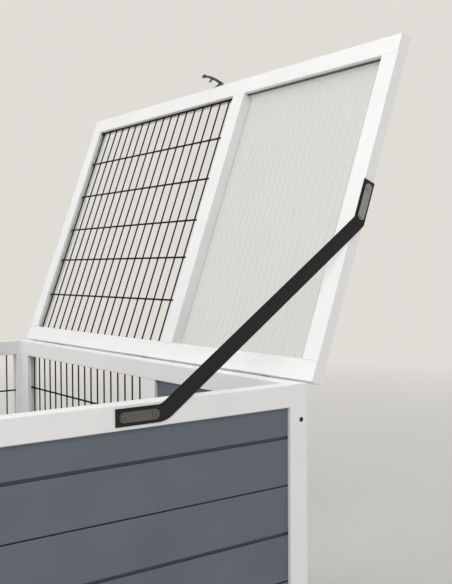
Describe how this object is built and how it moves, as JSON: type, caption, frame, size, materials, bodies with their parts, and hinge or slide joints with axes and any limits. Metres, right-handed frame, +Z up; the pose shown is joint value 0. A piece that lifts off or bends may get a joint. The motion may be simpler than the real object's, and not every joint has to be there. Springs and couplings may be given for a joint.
{
  "type": "guinea pig cage",
  "caption": "Wooden guinea pig cage with wire mesh, a boarded shelter, a hinged mesh roof held open by a webbing strap, a front door and a pull-out tray.",
  "frame": {"origin": "on the floor, under the centre of the bounding box of the cage with its roof open", "axes": "+X along the cage to the boarded shelter end, +Y from the front to the rear where the roof is hinged, +Z up"},
  "size_m": [0.925, 0.7533, 0.9501],
  "materials": {
    "white_wood": "satin water-based paint",
    "slate_boards": "satin water-based paint",
    "bare_wood": "planed",
    "black_wire": "satin coating",
    "roof_plastic": "satin, translucent",
    "dark_screws": "satin",
    "zinc_screws": "satin",
    "zinc_steel": "satin",
    "webbing": "woven",
    "dark_metal": "dull nickel",
    "tray_plastic": "satin"
  },
  "bodies": {
    "cage": {"right_posts": "white_wood", "right_rails": "white_wood", "right_boards": "slate_boards", "left_posts": "white_wood", "left_rails": "white_wood", "left_mesh": "black_wire", "rear_top_rail": "white_wood", "rear_bottom_rail": "white_wood", "rear_left_stile": "white_wood", "rear_middle_stile": "white_wood", "rear_right_stile": "white_wood", "rear_mesh": "black_wire", "rear_boards": "slate_boards", "front_top_rail": "white_wood", "front_lower_rail": "white_wood", "front_left_stile": "white_wood", "front_middle_stile": "white_wood", "front_right_stile": "white_wood", "front_boards": "slate_boards", "front_sill": "white_wood", "tray_runners": "bare_wood", "corner_screws": "dark_screws", "cage_screws": "zinc_screws", "roof_hinge_cage_leaves": "zinc_steel", "roof_hinge_pins": "zinc_steel", "strap_cage_end": "webbing", "strap_span": "webbing", "cage_strap_plate": "dark_metal", "latch_keeper": "dark_metal", "door_hinge_cage_leaves": "zinc_steel", "door_hinge_pins": "zinc_steel", "bolt_keeper": "zinc_steel"},
    "roof": {"roof_rear_rail": "white_wood", "roof_front_rail": "white_wood", "roof_left_stile": "white_wood", "roof_middle_stile": "white_wood", "roof_right_stile": "white_wood", "roof_mesh": "black_wire", "roof_sheet": "roof_plastic", "roof_screws": "zinc_screws", "roof_hinge_roof_leaves": "zinc_steel", "strap_roof_end": "webbing", "roof_strap_plate": "dark_metal", "latch_bracket": "dark_metal", "latch_pin": "zinc_steel"},
    "latch": {"latch_lever": "dark_metal"},
    "door": {"door_stiles": "white_wood", "door_rails": "white_wood", "door_mesh": "black_wire", "door_screws": "zinc_screws", "door_hinge_door_leaves": "zinc_steel", "bolt_plate": "zinc_steel"},
    "bolt": {"bolt_rod": "zinc_steel"},
    "tray": {"tray_pan": "tray_plastic", "tray_front": "white_wood", "tray_pull": "zinc_steel"}
  },
  "joints": [
    {"name": "roof_hinge", "type": "hinge", "parent": "cage", "child": "roof", "pos_m": [-0.002, 0.17591, 0.4335], "axis": [1, 0, 0], "range_deg": [0, 110], "deforming": ["strap_span"]},
    {"name": "latch_turn", "type": "hinge", "parent": "roof", "child": "latch", "pos_m": [-0.002, 0.37359, 0.93833], "axis": [-1, 0, 0], "range_deg": [-5, 95]},
    {"name": "door_hinge", "type": "hinge", "parent": "cage", "child": "door", "pos_m": [-0.3995, -0.35509, 0.263], "axis": [0, 0, -1], "range_deg": [0, 110]},
    {"name": "bolt_slide", "type": "slide", "parent": "door", "child": "bolt", "axis": [1, 0, 0], "range_m": [0, 0.01]},
    {"name": "tray_slide", "type": "slide", "parent": "cage", "child": "tray", "axis": [0, -1, 0], "range_m": [0, 0.44]}
  ]
}
